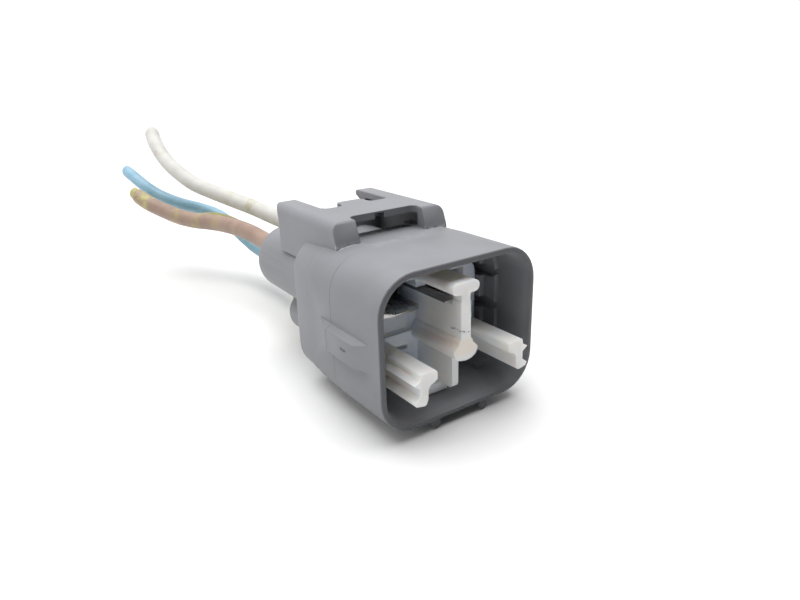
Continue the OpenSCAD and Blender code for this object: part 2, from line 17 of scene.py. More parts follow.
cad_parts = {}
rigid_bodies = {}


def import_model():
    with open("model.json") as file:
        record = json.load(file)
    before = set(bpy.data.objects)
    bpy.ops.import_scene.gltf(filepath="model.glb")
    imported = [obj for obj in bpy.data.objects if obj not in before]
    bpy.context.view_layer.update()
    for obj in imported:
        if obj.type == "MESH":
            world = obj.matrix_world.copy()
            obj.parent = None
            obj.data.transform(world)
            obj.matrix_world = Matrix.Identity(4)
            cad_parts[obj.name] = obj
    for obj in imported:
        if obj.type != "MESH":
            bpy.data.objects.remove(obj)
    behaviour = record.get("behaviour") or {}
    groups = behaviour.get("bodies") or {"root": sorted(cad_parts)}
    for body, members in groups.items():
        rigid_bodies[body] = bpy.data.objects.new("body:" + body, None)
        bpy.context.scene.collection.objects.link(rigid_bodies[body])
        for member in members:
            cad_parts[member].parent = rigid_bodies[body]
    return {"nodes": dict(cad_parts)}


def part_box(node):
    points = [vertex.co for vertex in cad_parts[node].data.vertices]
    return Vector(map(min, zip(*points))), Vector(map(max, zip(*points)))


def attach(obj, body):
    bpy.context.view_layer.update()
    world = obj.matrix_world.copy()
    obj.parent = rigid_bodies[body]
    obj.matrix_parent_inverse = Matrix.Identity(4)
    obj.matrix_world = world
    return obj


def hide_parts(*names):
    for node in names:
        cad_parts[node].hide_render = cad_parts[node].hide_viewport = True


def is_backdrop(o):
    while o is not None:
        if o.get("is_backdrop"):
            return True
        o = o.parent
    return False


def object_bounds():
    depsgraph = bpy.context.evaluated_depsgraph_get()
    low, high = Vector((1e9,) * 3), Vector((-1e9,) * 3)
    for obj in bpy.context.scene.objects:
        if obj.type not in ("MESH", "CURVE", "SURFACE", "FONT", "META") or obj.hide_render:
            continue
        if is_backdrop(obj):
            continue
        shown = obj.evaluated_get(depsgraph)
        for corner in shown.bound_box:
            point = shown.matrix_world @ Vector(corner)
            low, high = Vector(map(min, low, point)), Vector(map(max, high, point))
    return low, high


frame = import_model()
cad_low, cad_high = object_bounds()
nodes = frame["nodes"]
MM = 0.001
print("box of the solids, mm:", [round(v / MM, 1) for v in (*cad_low, *cad_high)])

# %% [markdown]
# ## Where the connector's own measures start
# Every size below is in millimetres in the connector's own frame: Y runs from the rim of the
# mouth to the wires, and Z goes up from the middle of the shroud. The row's frame has its origin
# under the middle of the part, so `row` moves a point there and turns it into metres. The rim is
# the front of the housing's box, and the shroud's middle lies half a shroud and one keel rib
# above Z = 0.

# %% The connector's frame
SHROUD_H = 28.0
KEEL_D = 1.8
RIM_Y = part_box("housing")[0][1] / MM
MIDDLE_Z = SHROUD_H / 2 + KEEL_D


def row(point):
    """A point of the connector's own frame, in millimetres, as metres in the row's frame."""
    x, y, z = point
    return Vector((x * MM, (y + RIM_Y) * MM, (z + MIDDLE_Z) * MM))


print("the rim is at Y = %.2f mm and the shroud's middle at Z = %.2f mm" % (RIM_Y, MIDDLE_Z))

# %% [markdown]
# ## The camera
# A close view from the front left and above. The lens is moderately wide, so the mouth looks
# larger than the rear, and the camera leans over by a degree or two, as a hand-held one does.
# Its turn is written as three angles, and its axes are worked out from them.

# %% Camera
AZIMUTH, ELEVATION, ROLL = -34.8, 20.8, -1.77
CAMERA_AT = (-65.65, -76.10, 45.25)
FOCAL_MM = 29.05


def camera_axes(azimuth, elevation, roll):
    """The camera's right, up and back axes for three angles in degrees."""
    a, e, r = (math.radians(v) for v in (azimuth, elevation, roll))
    back = Vector((math.sin(a) * math.cos(e), -math.cos(a) * math.cos(e), math.sin(e)))
    right = Vector((math.cos(a), math.sin(a), 0.0))
    up = back.cross(right)
    return (right * math.cos(r) + up * math.sin(r), up * math.cos(r) - right * math.sin(r), back)


def add_camera():
    data = bpy.data.cameras.new("camera")
    data.sensor_width = 36.0
    data.lens = FOCAL_MM
    data.clip_start = 0.005
    camera = bpy.data.objects.new("camera", data)
    right, up, back = camera_axes(AZIMUTH, ELEVATION, ROLL)
    turn = Matrix((right, up, back)).transposed().to_4x4()
    camera.matrix_world = Matrix.Translation(row(CAMERA_AT)) @ turn
    bpy.context.scene.collection.objects.link(camera)
    bpy.context.scene.camera = camera
    return camera


camera = add_camera()
print("camera at", [round(v, 4) for v in camera.location])

# %% [markdown]
# ## The wires' routes
# Four stiff copper wires leave their seal towers straight, cross each other behind the part and
# rise a little towards their cut ends. Each route is a short list of points, given one by one in
# the connector's frame. A tube through such points would have flat stretches, so the points are
# first passed through a Catmull-Rom curve, which goes through every one of them and keeps its
# direction from piece to piece.

# %% Routes
SEAL_L = 9.0
SEAL_IN = 1.0
CRIMP_L = 3.6
POWER_END, SIGNAL_END = 53.5, 47.0
POWER_R, SIGNAL_R = 2.1, 1.8
POWER_AT, SIGNAL_AT = (6.1, 3.5), (5.5, -7.4)

WHITE = [(6.1, 60.5, 3.8), (5.3, 68, 4.8), (4.1, 74, 5.7), (2.5, 81, 6.7), (1.2, 87.5, 7.6),
         (-0.7, 93, 8.6), (-2.7, 98.5, 9.6), (-4.9, 104, 10.8), (-7, 110, 12.1), (-8.5, 116, 14.1),
         (-9.5, 123, 16.5), (-9.7, 131, 19.6), (-9, 138, 22.5), (-8.2, 142, 24.3)]
BROWN = [(-6.1, 61, 4), (-6.2, 67, 4.5), (-6.6, 73, 5), (-7.2, 79.5, 5.1), (-8.3, 86, 5),
         (-10.1, 92, 4.8), (-12.3, 97.5, 4.6), (-14.6, 103, 5), (-16.8, 109, 6),
         (-19.1, 115, 7.4), (-20.8, 120, 9.2)]
BLUE = [(5.5, 56, -7.4), (5.5, 64, -7.4), (5.5, 72, -7.4), (5.5, 80, -7.4), (5.4, 88, -7.2),
        (4.3, 96, -6.3), (2.9, 103, -3.6), (1.2, 109, -0.2), (-0.9, 114, 1.8), (-3.7, 119, 3),
        (-6.9, 123, 4), (-9.9, 127.5, 5.3), (-12.3, 132, 6.8), (-14.3, 137, 8.9),
        (-15.7, 142, 11), (-16.7, 147, 12.7)]
YELLOW = [(-4.7, 51.5, -6.7), (-2.9, 56, -4.9), (-1.2, 61, -2.7), (-0.5, 67, -0.9),
          (-0.6, 74, 0.2), (-1.1, 81, 0.9), (-1.9, 88, 1.6), (-3.3, 95, 2.9), (-5.3, 101, 3.3),
          (-7.4, 106, 2.6), (-10.3, 111, 1.8), (-12.9, 117, 2.6), (-14.9, 122.5, 4),
          (-16.9, 128, 5.8), (-18.8, 133, 7.9)]


def catmull_rom(points, per_span):
    """A smooth line through the points, with per_span steps from each one to the next."""
    p = [points[0] * 2 - points[1], *points, points[-1] * 2 - points[-2]]
    line = []
    for i in range(1, len(p) - 2):
        for k in range(per_span):
            t = k / per_span
            line.append(0.5 * (2 * p[i] + (p[i + 1] - p[i - 1]) * t
                               + (2 * p[i - 1] - 5 * p[i] + 4 * p[i + 1] - p[i + 2]) * t * t
                               + (3 * p[i] - p[i - 1] - 3 * p[i + 1] + p[i + 2]) * t ** 3))
    line.append(points[-1])
    return line


for name, route in {"white": WHITE, "brown": BROWN, "blue": BLUE, "yellow": YELLOW}.items():
    print("the %s route has %d points" % (name, len(route)))

# %% [markdown]
# ## A tube along a line
# A wire's insulation is extruded, so its section is one circle all the way. The mesh is built
# ring by ring: each ring stands square to the line, and it is carried from one ring to the next
# by the smallest turn, so the tube never twists. A curve object with a round bevel would be
# quicker to make, but it stays round to its end. Here the end can be pinched oval and bored,
# and each point keeps how far along the wire it lies, for the finish to read.

# %% Tube builder
PINCH_L = 1.6 * MM
PINCH_SIDE, PINCH_UP = 0.16, 0.03
CUT_CHAMFER = 0.12 * MM
BORE_L = 0.9 * MM


def carried_axes(line):
    """For each point of a line: its direction and two axes square to it, without twist."""
    frames = []
    side = None
    for i, point in enumerate(line):
        along = (line[min(i + 1, len(line) - 1)] - line[max(i - 1, 0)]).normalized()
        if side is None:
            side = along.cross(Vector((0, 0, 1))).normalized()
        side = (side - along * side.dot(along)).normalized()
        frames.append((point, along, side, side.cross(along)))
    return frames


def mesh_object(name, points, faces, smooth=True):
    """A mesh from points in metres and faces, riding on the part's one body."""
    mesh = bpy.data.meshes.new(name)
    mesh.from_pydata([tuple(p) for p in points], [], faces)
    mesh.validate()
    mesh.update()
    if smooth:
        mesh.shade_smooth()
    else:
        mesh.shade_flat()
    piece = bpy.data.objects.new(name, mesh)
    bpy.context.scene.collection.objects.link(piece)
    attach(piece, "root")
    return piece


def carry_values(piece, name, values):
    """Keeps one number on each point of a mesh, for its finish to read."""
    layer = piece.data.attributes.new(name, "FLOAT", "POINT")
    layer.data.foreach_set("value", values)


def distances(line):
    """How far each point of a line lies from its start."""
    total = [0.0]
    for a, b in zip(line, line[1:]):
        total.append(total[-1] + (b - a).length)
    return total


def tube(name, line, radius, sides, end_bore):
    """An extruded tube along a line, closed at its start, with a bored and squeezed cut end."""
    frames = carried_axes(line)
    run = distances(line)
    points, along = [], []

    def ring(axes, r_side, r_up, s):
        centre, _, side, up = axes
        for k in range(sides):
            a = math.tau * k / sides
            points.append(centre + side * (r_side * math.cos(a)) + up * (r_up * math.sin(a)))
            along.append(s / MM)

    for axes, s in zip(frames, run):
        pinch = max(0.0, 1.0 - (run[-1] - s) / PINCH_L)
        ring(axes, radius * (1 - PINCH_SIDE * pinch * pinch), radius * (1 - PINCH_UP * pinch), s)
    last = frames[-1]
    cut_side = radius * (1 - PINCH_SIDE) - CUT_CHAMFER
    cut_up = radius * (1 - PINCH_UP) - CUT_CHAMFER
    inward = [(cut_side, cut_up, 0.0), (end_bore, end_bore, 0.0), (end_bore, end_bore, -BORE_L)]
    for r_side, r_up, depth in inward:
        moved = (last[0] + last[1] * depth, *last[1:])
        ring(moved, r_side, r_up, run[-1])
    faces = [[i * sides + k, i * sides + (k + 1) % sides, (i + 1) * sides + (k + 1) % sides,
              (i + 1) * sides + k] for i in range(len(points) // sides - 1) for k in range(sides)]
    faces = [face[::-1] for face in faces]
    faces.append(list(range(sides)))
    piece = mesh_object(name, points, faces)
    carry_values(piece, "along_mm", along)
    return piece


# %% [markdown]
# ## The four wires
# Each wire is stranded copper in an extruded plastic sleeve: thick ones (4.2 mm) for the two
# power ways, thin ones (3.6 mm) for the two signal ways. A wire leaves its crimp straight, goes
# through its seal, and then bends as it was last left. Cutters squeezed each end a little oval
# and left the copper showing. So a wire is one tube along a smooth line through a few points,
# with its end pinched and bored, and the copper stands in the bore.

# %% The four wires
WIRE_SIDES = 28
STEPS_PER_SPAN = 8
BORE_SHARE, COPPER_SHARE = 0.62, 0.60
STRAND_SIDES = 8
STRAND_PACKING = 0.98
STRAND_L = 1.2 * MM
STRAND_TIP = 0.04 * MM
WIRES = {}


def lead_in(x, z, end):
    """Where a wire starts in its crimp, and the straight it follows out of its tower."""
    start = end - SEAL_IN - SEAL_L - CRIMP_L
    return [(x, start, z), (x, start + 8, z), (x, end + 0.5, z)]


def add_wire(colour, x, z, end, radius, route):
    points = [row(p) for p in lead_in(x, z, end) + route]
    line = catmull_rom(points, STEPS_PER_SPAN)
    length = distances(line)[-1]
    piece = tube("insulation_" + colour, line, radius * MM, WIRE_SIDES,
                 BORE_SHARE * radius * MM)
    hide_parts("wire_" + colour)
    strands = strand_bundle("cut_strands_" + colour, line, COPPER_SHARE * radius * MM)
    row((x, end, z))
    WIRES[colour] = piece
    print("%s wire: %.1f mm long" % (colour, length / MM))


def strand_bundle(name, line, bundle_r):
    """The cut copper: one strand in the middle and two rings round it, each turned a little."""
    centre, along, side, up = carried_axes(line)[-1]
    strand_r = bundle_r / 5
    places = [(0.0, 0.0)]
    for turn in (1, 2):
        out = 2 * turn * strand_r * STRAND_PACKING
        for k in range(6 * turn):
            a = math.tau * k / (6 * turn) + 0.2 * turn
            places.append((out * math.cos(a), out * math.sin(a)))
    rng = random.Random(len(name))
    points, faces = [], []
    for px, py in places:
        top = -rng.uniform(0.02, 0.28) * MM
        base = len(points)
        for depth, share in ((-STRAND_L, 1.0), (top - STRAND_TIP, 1.0), (top, 0.72)):
            for k in range(STRAND_SIDES):
                a = math.tau * k / STRAND_SIDES
                points.append(centre + along * depth
                              + side * (px + strand_r * share * math.cos(a))
                              + up * (py + strand_r * share * math.sin(a)))
        first, second, third = ([base + i * STRAND_SIDES + k for k in range(STRAND_SIDES)]
                                for i in range(3))
        for low, high in ((first, second), (second, third)):
            for k in range(STRAND_SIDES):
                n = (k + 1) % STRAND_SIDES
                faces.append([low[n], low[k], high[k], high[n]])
        faces.append(third[::-1])
        faces.append(first)
    return mesh_object(name, points, faces, smooth=False)


add_wire("brown", -POWER_AT[0], POWER_AT[1], POWER_END, POWER_R, BROWN)
add_wire("white", POWER_AT[0], POWER_AT[1], POWER_END, POWER_R, WHITE)
add_wire("yellow", -SIGNAL_AT[0], SIGNAL_AT[1], SIGNAL_END, SIGNAL_R, YELLOW)
add_wire("blue", SIGNAL_AT[0], SIGNAL_AT[1], SIGNAL_END, SIGNAL_R, BLUE)

# %% [markdown]
# ## Moulded pieces with soft edges
# The solids come in as separate flat patches. On the real pieces a corner is one smooth sweep,
# and no edge is sharper than the mould's own rounding. Each rigid piece is therefore built anew
# from its solid: the patches are welded, a small bevel runs along the edges of the smaller
# pieces, and a corner shades smoothly wherever it turns by less than a given angle. Modifiers
# could do the same, but the pieces are then only finished when they are drawn. The shape stays
# that of the solid.

# %% Welded copies of the rigid solids
WELD = 1e-6
FLAT_DEG = 0.4


def soft_edged(node, name, smooth_deg=30.0, bevel_mm=0.0):
    """A welded copy of a solid, with bevelled edges and smooth corners, in the solid's place."""
    mesh = nodes[node].data.copy()
    mesh.materials.clear()
    build = bmesh.new()
    build.from_mesh(mesh)
    bmesh.ops.remove_doubles(build, verts=build.verts, dist=WELD)
    bmesh.ops.dissolve_limit(build, angle_limit=math.radians(FLAT_DEG), verts=build.verts,
                             edges=build.edges)
    sharp = [e for e in build.edges
             if e.is_manifold and e.calc_face_angle() > math.radians(smooth_deg)]
    if bevel_mm:
        bmesh.ops.bevel(build, geom=sharp, offset=bevel_mm * MM, offset_type="OFFSET",
                        segments=2, profile=0.6, affect="EDGES", clamp_overlap=True)
    build.to_mesh(mesh)
    build.free()
    if "custom_normal" in mesh.attributes:
        mesh.attributes.remove(mesh.attributes["custom_normal"])
    mesh.shade_smooth()
    mesh.set_sharp_from_angle(angle=math.radians(smooth_deg))
    piece = bpy.data.objects.new(name, mesh)
    bpy.context.scene.collection.objects.link(piece)
    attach(piece, "root")
    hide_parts(node)
    print("%s: %d corners, %d edges softened" % (name, len(mesh.vertices), len(sharp)))
    return piece


shell = soft_edged("housing", "moulded_shell")
holder = soft_edged("front_holder", "moulded_holder", bevel_mm=0.10)
blades = [soft_edged(node, node.replace("terminal", "blade"), 12.0, bevel_mm=0.04)
          for node in sorted(nodes) if "terminal" in node]

# %% [markdown]
# ## Shader maths as Python
# A finish is a formula over the surface: noise here, a line there, a little wear at the edges.
# Wiring such a formula node by node is slow to write and hard to read, so one small class wraps
# a socket and gives it Python's operators. An expression like `1 - mask * 0.5` then adds the
# Math nodes that it needs. Every other node comes from `add_node`, settings first.

# %% A socket with operators
def feed(tree, socket, value):
    """Links a Value or a socket to a socket, or sets a plain value on it."""
    if isinstance(value, Value):
        value = value.socket
    if isinstance(value, bpy.types.NodeSocket):
        tree.links.new(value, socket)
    else:
        socket.default_value = value


def set_stops(ramp, stops):
    """Gives a colour ramp its stops, each a place and a colour."""
    while len(ramp.elements) < len(stops):
        ramp.elements.new(0.5)
    for element, (place, colour) in zip(ramp.elements, stops):
        element.position = place
        element.color = (*colour, 1.0)


def add_node(tree, kind, settings, inputs):
    """A node of one kind, with its settings made first and then its sockets fed."""
    node = tree.nodes.new("ShaderNode" + kind)
    for name, value in settings.items():
        if name == "stops":
            set_stops(node.color_ramp, value)
        else:
            setattr(node, name, value)
    for key, value in inputs.items():
        feed(tree, node.inputs[key], value)
    return node


class Value:
    """A number that flows out of a node, with Python's operators."""

    def __init__(self, tree, socket):
        self.tree, self.socket = tree, socket

    def maths(self, operation, *terms):
        node = add_node(self.tree, "Math", {"operation": operation}, dict(enumerate(terms)))
        return Value(self.tree, node.outputs[0])

    def __add__(self, other):
        return self.maths("ADD", self, other)

    def __sub__(self, other):
        return self.maths("SUBTRACT", self, other)

    def __rsub__(self, other):
        return self.maths("SUBTRACT", other, self)

    def __mul__(self, other):
        return self.maths("MULTIPLY", self, other)

    def __truediv__(self, other):
        return self.maths("DIVIDE", self, other)

    def __abs__(self):
        return self.maths("ABSOLUTE", self)

    def __pow__(self, power):
        return self.maths("POWER", self, power)

    __radd__, __rmul__ = __add__, __mul__

    def above(self, low, high):
        """0 below low, 1 above high, and a smooth rise between them."""
        node = add_node(
            self.tree, "MapRange", {"interpolation_type": "SMOOTHSTEP"},
            {"Value": self, "From Min": low, "From Max": high, "To Min": 0.0, "To Max": 1.0})
        return Value(self.tree, node.outputs["Result"])

    def below(self, low, high):
        """1 below low, 0 above high, and a smooth fall between them."""
        return 1 - self.above(low, high)


# %% [markdown]
# ## What a finish knows
# A finish is one material with one Principled shader. Its methods give what a formula starts
# from: the point's place in millimetres, the way the surface faces, noise of a given fineness
# and how near the next edge is. Places in millimetres mean that a mark can be put where it
# belongs on the real piece, with no unfolding of its surface.

# %% A finish
class Finish:
    """A material with one Principled shader, whose constants are given by name."""

    def __init__(self, name, **constants):
        self.material = bpy.data.materials.new(name)
        self.material.use_nodes = True
        self.tree = self.material.node_tree
        self.tree.nodes.clear()
        self.shader = self.node("BsdfPrincipled", {}, constants)
        self.node("OutputMaterial", {}, {"Surface": self.shader.outputs["BSDF"]})

    def node(self, kind, settings, inputs):
        return add_node(self.tree, kind, settings, inputs)

    def set(self, **inputs):
        """Feeds the shader's own sockets, with _ for a space in their names."""
        for name, value in inputs.items():
            feed(self.tree, self.shader.inputs[name.replace("_", " ")], value)

    def place(self):
        """The point's place in millimetres, as a vector."""
        here = self.node("TexCoord", {}, {}).outputs["Object"]
        node = self.node("VectorMath", {"operation": "SCALE"}, {0: here, "Scale": 1 / MM})
        return node.outputs[0]

    def three_values(self, vector):
        """The three numbers of a vector."""
        parts = self.node("SeparateXYZ", {}, {0: vector}).outputs
        return [Value(self.tree, part) for part in parts]

    def connector_axes(self):
        """The point's place in the connector's own frame, in millimetres."""
        x, y, z = self.three_values(self.place())
        return x, y - RIM_Y, z - MIDDLE_Z

    def normal_axes(self):
        """The way that the surface faces."""
        return self.three_values(self.node("NewGeometry", {}, {}).outputs["Normal"])

    def noise(self, per_mm, detail=2.0, rough=0.5, stretch=(1, 1, 1), seed=0.0):
        """Noise of about per_mm grains in a millimetre, around 0.5."""
        spread = self.node("VectorMath", {"operation": "MULTIPLY"},
                           {0: self.place(), 1: stretch}).outputs[0]
        node = self.node("TexNoise", {"noise_dimensions": "4D"},
                         {"Vector": spread, "Scale": per_mm, "Detail": detail,
                          "Roughness": rough, "W": seed})
        return Value(self.tree, node.outputs["Fac"])

    def mix(self, a, b, mask):
        """Colour a where the mask is 0, and colour b where it is 1."""
        return self.node("Mix", {"data_type": "RGBA"}, {0: mask, 6: a, 7: b}).outputs[2]

    def edges(self, radius_mm):
        """(the normal with its edges rounded off, how near the point is to an edge)."""
        soft = self.node("Bevel", {"samples": 6}, {"Radius": radius_mm * MM}).outputs[0]
        true = self.node("NewGeometry", {}, {}).outputs["Normal"]
        node = self.node("VectorMath", {"operation": "DOT_PRODUCT"}, {0: soft, 1: true})
        return soft, (1 - Value(self.tree, node.outputs["Value"])).above(0.01, 0.3)

    def bump(self, height, depth_mm, normal=None):
        """A normal that follows a height of 0 to 1, depth_mm deep, over another normal."""
        inputs = {"Height": height, "Distance": depth_mm * MM, "Strength": 1.0}
        if normal is not None:
            inputs["Normal"] = normal
        return self.node("Bump", {}, inputs).outputs[0]

    def dress(self, *pieces):
        for piece in pieces:
            piece.data.materials.clear()
            piece.data.materials.append(self.material)
        print("%s: %d nodes, on %d pieces"
              % (self.material.name, len(self.tree.nodes), len(pieces)))


def grey(level, blue=0.0):
    """A grey of one level, a share bluer than neutral."""
    return (level, level * (1 + blue * 0.15), level * (1 + blue), 1.0)


# %% [markdown]
# ## The grey housing
# Glass-filled plastic out of a spark-eroded mould: satin, with a very fine grain, clouds where
# the melt flowed, and edges that are a little rounded and a little paler where they have rubbed.
# A corner's rounding is drawn by the Bevel node, as a real bevel on so many edges would cost
# many faces and show no more. The marks are laid over the plastic by place: the hairline where
# the two halves of the mould meet, a painted highlight along the feet of the rails in patches like
# whitened plastic, haze between them, painted shade on the rim's face, rubbed rail fronts, and a
# nick on one boss.

# %% Moulded grey plastic
PARTING_Y = 15.0
RAIL_Y, RAIL_X = 19.5, 9.9
NICK_X, NICK_Y, NICK_Z = -18.0, 9.5, -0.3


def moulded_grey():
    f = Finish("moulded grey plastic", **{"Specular IOR Level": 0.45})
    x, y, z = f.connector_axes()
    nx, ny, nz = f.normal_axes()
    soft, edge = f.edges(0.22)
    clouds = f.noise(0.07, 3, 0.55)
    grain = f.noise(5.5, 2, 0.6)
    specks = f.noise(1.6, 4, 0.7, seed=3.0)
    base = f.mix(grey(0.174, 0.09), grey(0.194, 0.10), clouds.above(0.35, 0.65))
    base = f.mix(base, grey(0.30, 0.08), edge * specks.above(0.40, 0.62) * 0.6)
    # the hairline, on the outside alone and fainter on top
    outward = (nx * x + nz * z).above(1.0, 4.0)
    line = abs(y - PARTING_Y).below(0.02, 0.085) * outward * ny.below(0.5, 0.6)
    line = line * (1 - nz.above(0.75, 0.98) * 0.8)
    base = f.mix(base, grey(0.03, 0.1), line * 0.85)
    # painted highlight where the rails' front feet meet the top, in patches like whitened plastic
    foot_highlight = (abs(y - RAIL_Y).below(0.2, 0.75) * abs(z - SHROUD_H / 2).below(0.2, 0.7)
            * abs(abs(x) - RAIL_X).below(2.4, 2.9))
    base = f.mix(base, grey(0.50, 0.05), foot_highlight * specks.above(0.36, 0.6) * 0.75)
    # haze on the top between the feet
    haze = f.noise(0.22, 5, 0.65, seed=11.0)
    scuff = abs(y - RAIL_Y + 2.5).below(0.5, 3.2) * nz.above(0.7, 0.9) * abs(x).below(6.0, 13.0)
    base = f.mix(base, grey(0.27, 0.09), scuff * haze.above(0.38, 0.70) * 0.55)
    # painted shade: the rim's front face is darkened, as it faces the dim front of the studio
    rim_shade = y.below(0.9, 1.6) * ny.below(-0.6, -0.2)
    base = f.mix(base, grey(0.095, 0.10), rim_shade)
    # the rails' leaning front faces are rubbed paler
    rubbed = (abs(y - RAIL_Y - 0.8).below(1.3, 1.8) * z.above(SHROUD_H / 2, SHROUD_H / 2 + 0.3)
              * ny.below(-0.8, -0.4))
    base = f.mix(base, grey(0.27, 0.09), rubbed * (0.6 + clouds * 0.4))
    # a nick on the left boss, with dirt in it
    nick = (((y - NICK_Y) / 1.1) ** 2 + ((z - NICK_Z) / 0.36) ** 2).below(0.5, 1.0)
    nick = nick * x.below(NICK_X, NICK_X + 0.4) * specks.above(0.40, 0.47)
    base = f.mix(base, grey(0.035), nick * 0.85)
    rough = 0.44 + clouds * 0.08 + grain * 0.06 - edge * 0.05
    height = grain * 0.5 + specks * 0.35 - line * 2.0 - nick * 3.0
    f.set(Base_Color=base, Roughness=rough, Normal=f.bump(height, 0.012, soft))
    return f


moulded_grey().dress(shell)

# %% [markdown]
# ## The white holder
# Unfilled nylon in its natural colour lets light in and scatters it, so thin ribs look paler
# and edges glow a little. Subsurface scattering does that, where a plain white would look like
# chalk. The plate at the back is painted cooler, for the bluish light bounced inside the grey
# shroud, and the bulb is painted warmer, for the light falling in at the mouth. On the post the
# mould tore a little flash, which has caught dirt, and under the cap the slot's floor is painted
# dark, as its shadow.

# %% Natural nylon
PLATE_Y = 7.0
POST_Y = 1.5
TORN_Z = 1.35
SLOT_FLOOR_Z = 5.9


def natural_nylon():
    f = Finish("natural nylon", **{"Subsurface Weight": 0.7, "Subsurface Scale": 0.003,
                                   "Subsurface Radius": (1.0, 0.8, 0.6)})
    x, y, z = f.connector_axes()
    clouds = f.noise(0.16, 3, 0.5, seed=1.0)
    grain = f.noise(6.5, 2, 0.6, seed=2.0)
    flecks = f.noise(3.2, 4, 0.75, seed=8.0)
    base = f.mix((0.74, 0.745, 0.74, 1), (0.79, 0.79, 0.78, 1), clouds.above(0.3, 0.7))
    # painted cooler tint on the plate at the back, for the bluish light bounced off the shroud
    base = f.mix(base, (0.73, 0.78, 0.86, 1), y.above(PLATE_Y, PLATE_Y + 4.5) * 0.85)
    # painted warm tint round the bulb, for the light falling in at the mouth
    mouth_light_warmth = y.below(2.0, 8.0) * abs(z + 1.2).below(0.8, 2.2) * abs(x).below(2.0, 3.0)
    base = f.mix(base, (0.80, 0.66, 0.54, 1), mouth_light_warmth * 0.45)
    # torn flash and dirt, slanting across the post's front end
    torn = (abs(z - TORN_Z + x * 0.35).below(0.15, 0.4) * y.below(POST_Y, POST_Y + 0.8)
            * abs(x).below(1.2, 1.5) * flecks.above(0.53, 0.57))
    base = f.mix(base, grey(0.06), torn * 0.9)
    # painted shadow on the slot's floor under the cap
    slot_shadow = (abs(z - SLOT_FLOOR_Z).below(0.2, 0.4) * abs(x).below(1.1, 1.3)
              * y.above(3.4, 3.6))
    base = f.mix(base, grey(0.05, 0.15), slot_shadow * (0.8 + clouds * 0.2))
    rough = 0.34 + clouds * 0.08
    f.set(Base_Color=base, Roughness=rough, Normal=f.bump(grain - torn * 4.0, 0.006))
    return f


natural_nylon().dress(holder)

# %% [markdown]
# ## The blades
# Stamped from tinned strip: bright and grey, with fine streaks along the way that the strip was
# rolled. A metal's colour is its reflection, so the streaks vary both its colour and its
# roughness. The noise is stretched along Y to draw them.

# %% Tinned strip
def tinned_blade():
    f = Finish("tinned blade", **{"Metallic": 1.0})
    drawn = f.noise(3.0, 3, 0.6, stretch=(1, 0.04, 1))
    clouds = f.noise(0.5, 2, 0.5, seed=4.0)
    streaks = (drawn * 0.6 + clouds * 0.4).above(0.35, 0.65)
    base = f.mix(grey(0.33, -0.06), grey(0.50, -0.05), streaks)
    rough = 0.20 + drawn * 0.16
    f.set(Base_Color=base, Roughness=rough, Normal=f.bump(drawn, 0.004))
    return f


tinned_blade().dress(*blades)

# %% [markdown]
# ## The seals
# Silicone rubber in a dull green, with a dry surface that takes a little dust. Their shape is
# that of the solids, so they only need a finish.

# %% Seal rubber
def seal_rubber():
    f = Finish("seal rubber", **{"Specular IOR Level": 0.35})
    clouds = f.noise(0.4, 3, 0.6)
    grain = f.noise(7.0, 2, 0.6)
    base = f.mix((0.10, 0.17, 0.13, 1), (0.13, 0.21, 0.165, 1), clouds)
    f.set(Base_Color=base, Roughness=0.55 + clouds * 0.15, Normal=f.bump(grain, 0.01))
    return f


seal_rubber().dress(*[solid for name, solid in nodes.items() if "seal" in name])

# %% [markdown]
# ## The copper
# Bare strands, bright where they were cut and a little uneven in tone. The same finish goes on
# the bundles at the cut ends and on the solids of the strands in the crimps.

# %% Bright copper
def bright_copper():
    f = Finish("bright copper", **{"Metallic": 1.0})
    clouds = f.noise(2.0, 3, 0.6)
    base = f.mix((0.72, 0.36, 0.20, 1), (0.90, 0.55, 0.36, 1), clouds.above(0.3, 0.7))
    f.set(Base_Color=base, Roughness=0.28 + clouds * 0.2, Normal=f.bump(clouds, 0.01))
    return f


bright_copper().dress(*[solid for name, solid in nodes.items() if "strands" in name],
                      *[thing for thing in bpy.data.objects
                        if thing.name.startswith("cut_strands")])

# %% [markdown]
# ## The insulation
# Soft plastic, slightly translucent and clouded, and smeared with other colours where wires
# have lain together. A smear lies between two lengths along the wire, and the number that each
# tube carries on its points places it there. Blots of noise break it up, so that it doesn't
# look like a printed ring.

# %% Insulation
OLIVE = (0.33, 0.29, 0.10, 1)
YELLOWISH = (0.38, 0.35, 0.13, 1)
PINK = (0.33, 0.24, 0.20, 1)
WIRE_TINTS = {
    "white": ((0.46, 0.455, 0.425, 1), (0.53, 0.525, 0.49, 1)),
    "brown": ((0.235, 0.155, 0.115, 1), (0.30, 0.205, 0.155, 1)),
    "yellow": ((0.33, 0.31, 0.10, 1), (0.42, 0.39, 0.16, 1)),
    "blue": ((0.18, 0.35, 0.46, 1), (0.25, 0.41, 0.52, 1))}
# smears: from and to along the wire in millimetres, colour, how much of it
WIRE_MARKS = {"white": [(46, 51.5, OLIVE, 0.55), (55, 60, OLIVE, 0.25), (89.5, 95, PINK, 0.4)],
              "brown": [(45, 51, OLIVE, 0.4), (53.5, 58.5, OLIVE, 0.8), (62, 67, OLIVE, 0.75),
                        (75, 99, YELLOWISH, 1.0)]}


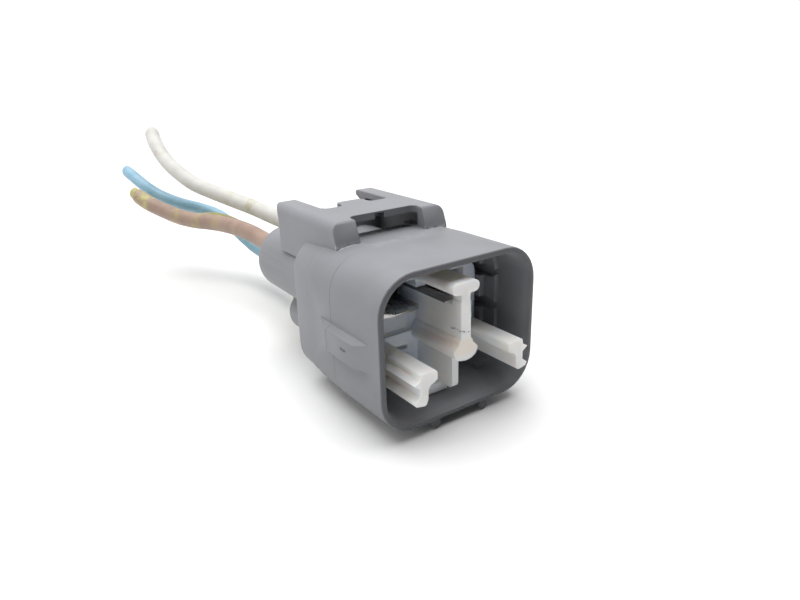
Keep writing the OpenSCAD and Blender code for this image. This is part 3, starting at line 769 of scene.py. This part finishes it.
def wire_pvc(name, dark, light, marks):
    f = Finish(name, **{"Subsurface Weight": 0.12, "Subsurface Scale": 0.0008,
                        "Subsurface Radius": (1.0, 0.8, 0.6)})
    along = Value(f.tree, f.node("Attribute", {"attribute_name": "along_mm"}, {}).outputs["Fac"])
    clouds = f.noise(0.25, 3, 0.55, seed=5.0)
    fine = f.noise(2.6, 3, 0.6, seed=6.0)
    blots = (f.noise(0.5, 3, 0.6, seed=7.0) * 0.8 + fine * 0.2).above(0.45, 0.60)
    base = f.mix(dark, light, clouds.above(0.3, 0.7))
    for low, high, colour, share in marks:
        rise = min(2.0, (high - low) / 2)
        there = along.above(low, low + rise) * along.below(high - rise, high)
        base = f.mix(base, colour, there * (0.1 + blots * 0.9) * share)
    f.set(Base_Color=base, Roughness=0.38 + fine * 0.14,
          Normal=f.bump(fine * 0.6 + clouds, 0.03))
    return f


for colour, wire in WIRES.items():
    wire_pvc(colour + " insulation", *WIRE_TINTS[colour], WIRE_MARKS.get(colour, [])).dress(wire)

# %% [markdown]
# ## The table
# A small plain pale table under the keel ribs. It is declared as stage, so it belongs to the
# picture and not to the object. It ends where it still looks as bright as the studio behind
# it, so no horizon shows.

# %% Table
TABLE_HALF = 0.42
TABLE_Z = -0.0002


def add_floor():
    corners = [(sx * TABLE_HALF, sy * TABLE_HALF, 0)
               for sx, sy in ((-1, -1), (1, -1), (1, 1), (-1, 1))]
    mesh = bpy.data.meshes.new("floor")
    mesh.from_pydata(corners, [], [(0, 1, 2, 3)])
    floor = bpy.data.objects.new("floor", mesh)
    floor.location.z = TABLE_Z
    bpy.context.scene.collection.objects.link(floor)
    f = Finish("pale floor")
    f.set(Base_Color=(0.74, 0.74, 0.74, 1), Roughness=0.7)
    f.dress(floor)
    floor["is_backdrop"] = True


add_floor()

# %% [markdown]
# ## The light
# The object lies in a white studio that is bright behind it and dim in front of it, so the
# shroud's mouth and rim stay dark while the top and the rear stay light. The world does that
# with one ramp over the direction that one looks in. A wide soft light hangs above, and a weak
# one stands at the left.

# %% Studio
WORLD_STRENGTH = 1.06
# how far back one looks, from 0 for straight forward (-Y) to 1 for straight back, and how bright
WORLD_LEVELS = [(0.0, 0.03), (0.35, 0.11), (0.5, 0.42), (0.66, 1.0)]


def add_world():
    world = bpy.data.worlds.new("studio")
    world.use_nodes = True
    tree = world.node_tree
    look = add_node(tree, "TexCoord", {}, {}).outputs["Generated"]
    back = add_node(tree, "SeparateXYZ", {}, {0: look}).outputs["Y"]
    share = add_node(tree, "MapRange", {}, {"Value": back, "From Min": -1.0}).outputs["Result"]
    stops = [(place, (level,) * 3) for place, level in WORLD_LEVELS]
    ramp = add_node(tree, "ValToRGB", {"stops": stops}, {"Fac": share}).outputs["Color"]
    shade = tree.nodes["Background"]
    feed(tree, shade.inputs["Color"], ramp)
    feed(tree, shade.inputs["Strength"], WORLD_STRENGTH)
    bpy.context.scene.world = world


def add_light(name, place, target, size, power):
    data = bpy.data.lights.new(name, "AREA")
    data.shape, data.size, data.energy = "SQUARE", size, power
    light = bpy.data.objects.new(name, data)
    light.location = place
    light.rotation_mode = "QUATERNION"
    light.rotation_quaternion = (Vector(target) - Vector(place)).to_track_quat("-Z", "Y")
    bpy.context.scene.collection.objects.link(light)
    print("%s light: %.1f W over %.1f m" % (name, power, size))


bpy.context.scene.view_settings.view_transform = "Standard"
add_world()
add_light("ceiling", (0.0, 0.06, 0.8), (0, 0, 0.01), 1.0, 12.0)
add_light("window", (-0.5, 0.15, 0.22), (0, 0, 0.015), 0.3, 0.35)

# %% [markdown]
# ## Sizes and end
# The dressed object stays in the box of its solids. Both boxes are printed.

# %% Sizes and end
view_low, view_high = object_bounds()
sizes = {"cad": [list(cad_low), list(cad_high)], "visual": [list(view_low), list(view_high)]}
for name, (low, high) in sizes.items():
    print(name, "mm:", [round((b - a) / MM, 2) for a, b in zip(low, high)])
